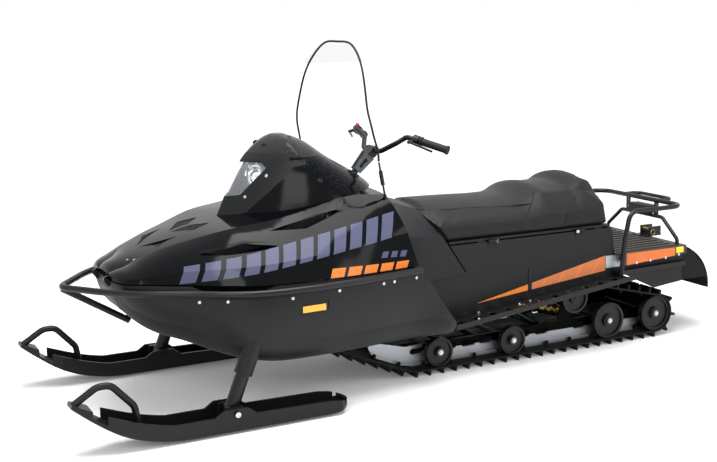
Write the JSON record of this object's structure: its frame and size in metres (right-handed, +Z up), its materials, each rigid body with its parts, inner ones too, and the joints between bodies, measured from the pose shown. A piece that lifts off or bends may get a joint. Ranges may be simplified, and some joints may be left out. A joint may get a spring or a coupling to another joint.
{
  "type": "utility snowmobile",
  "caption": "Long-track utility snowmobile with a tilting hood, tall windshield, stepped bench seat, cargo bed with rack, front bumper and a pair of steerable skis.",
  "frame": {"origin": "middle of the machine's footprint on the floor, halfway between the ski tips and the snow flap", "axes": "+X to the machine's left, +Y towards the rear, +Z up"},
  "size_m": [1.0772, 3.123, 1.425],
  "materials": {
    "aluminium_sheet": "brushed",
    "amber_lens": "gloss",
    "black_plastic": "matte",
    "black_steel": "satin",
    "bright_steel": "brushed",
    "clear_sheet": "gloss",
    "engine_alloy": "cast",
    "grey_plastic": "matte",
    "lamp_lens": "gloss",
    "painted_hull": "gloss",
    "red_lens": "gloss",
    "track_rubber": "matte",
    "vinyl": "satin",
    "yellow_plastic": "gloss"
  },
  "bodies": {
    "chassis": {"bed_reflectors": "yellow_plastic", "bogie_wheels": "black_plastic", "bumper": "black_steel", "cargo_deck": "grey_plastic", "console": "black_plastic", "drive_axle": "bright_steel", "engine": "engine_alloy", "hitch": "black_steel", "hood_hinges": "black_steel", "hull": "black_plastic", "lamp_housing": "black_plastic", "rear_rack": "black_steel", "rear_wheels": "black_plastic", "return_rollers": "black_plastic", "running_board_left": "black_steel", "running_board_right": "black_steel", "seat_base": "black_plastic", "seat_hinges": "bright_steel", "shocks": "bright_steel", "side_reflectors": "amber_lens", "slide_rails": "aluminium_sheet", "snow_flap": "black_plastic", "steering_column": "black_steel", "strut_sleeves": "black_steel", "suspension_arms": "black_steel", "tail_lamp": "red_lens", "track": "track_rubber", "tunnel": "black_steel"},
    "hood": {"hood": "painted_hull", "dash_cowl": "black_plastic", "headlight_bezel": "black_plastic", "headlight": "lamp_lens", "windshield": "clear_sheet", "windshield_trim": "black_plastic", "windshield_stays": "black_steel"},
    "seat": {"seat_cushion": "vinyl", "seat_pan": "black_plastic"},
    "handlebar": {"handlebar": "black_steel", "grips": "track_rubber", "controls": "grey_plastic", "bar_clamp": "bright_steel"},
    "spindle_left": {"spindle_left": "bright_steel"},
    "spindle_right": {"spindle_right": "bright_steel"},
    "ski_left": {"ski_left": "black_plastic"},
    "ski_right": {"ski_right": "black_plastic"}
  },
  "joints": [
    {"name": "hood_hinge", "type": "hinge", "parent": "chassis", "child": "hood", "pos_m": [0, -1.318, 0.546], "axis": [1, 0, 0], "range_deg": [0, 55]},
    {"name": "seat_hinge", "type": "hinge", "parent": "chassis", "child": "seat", "pos_m": [0.2762, 0.52, 0.563], "axis": [0, 1, 0], "range_deg": [0, 45]},
    {"name": "steering", "type": "hinge", "parent": "chassis", "child": "handlebar", "pos_m": [0, -0.134, 0.95], "axis": [0, 0.6947, 0.7193], "range_deg": [-32, 32]},
    {"name": "ski_steer_left", "type": "hinge", "parent": "chassis", "child": "spindle_left", "pos_m": [0.455, -0.965, 0.078], "axis": [0, 0.3746, 0.9272], "range_deg": [-29, 29]},
    {"name": "ski_pitch_left", "type": "hinge", "parent": "spindle_left", "child": "ski_left", "pos_m": [0.455, -0.965, 0.078], "axis": [1, 0, 0], "range_deg": [-12, 12]},
    {"name": "ski_steer_right", "type": "hinge", "parent": "chassis", "child": "spindle_right", "pos_m": [-0.455, -0.965, 0.078], "axis": [0, 0.3746, 0.9272], "range_deg": [-29, 29]},
    {"name": "ski_pitch_right", "type": "hinge", "parent": "spindle_right", "child": "ski_right", "pos_m": [-0.455, -0.965, 0.078], "axis": [1, 0, 0], "range_deg": [-12, 12]}
  ],
  "couplings": [
    {"joint": "ski_steer_left", "follows": "steering", "ratio": 0.9},
    {"joint": "ski_steer_right", "follows": "steering", "ratio": 0.9}
  ]
}
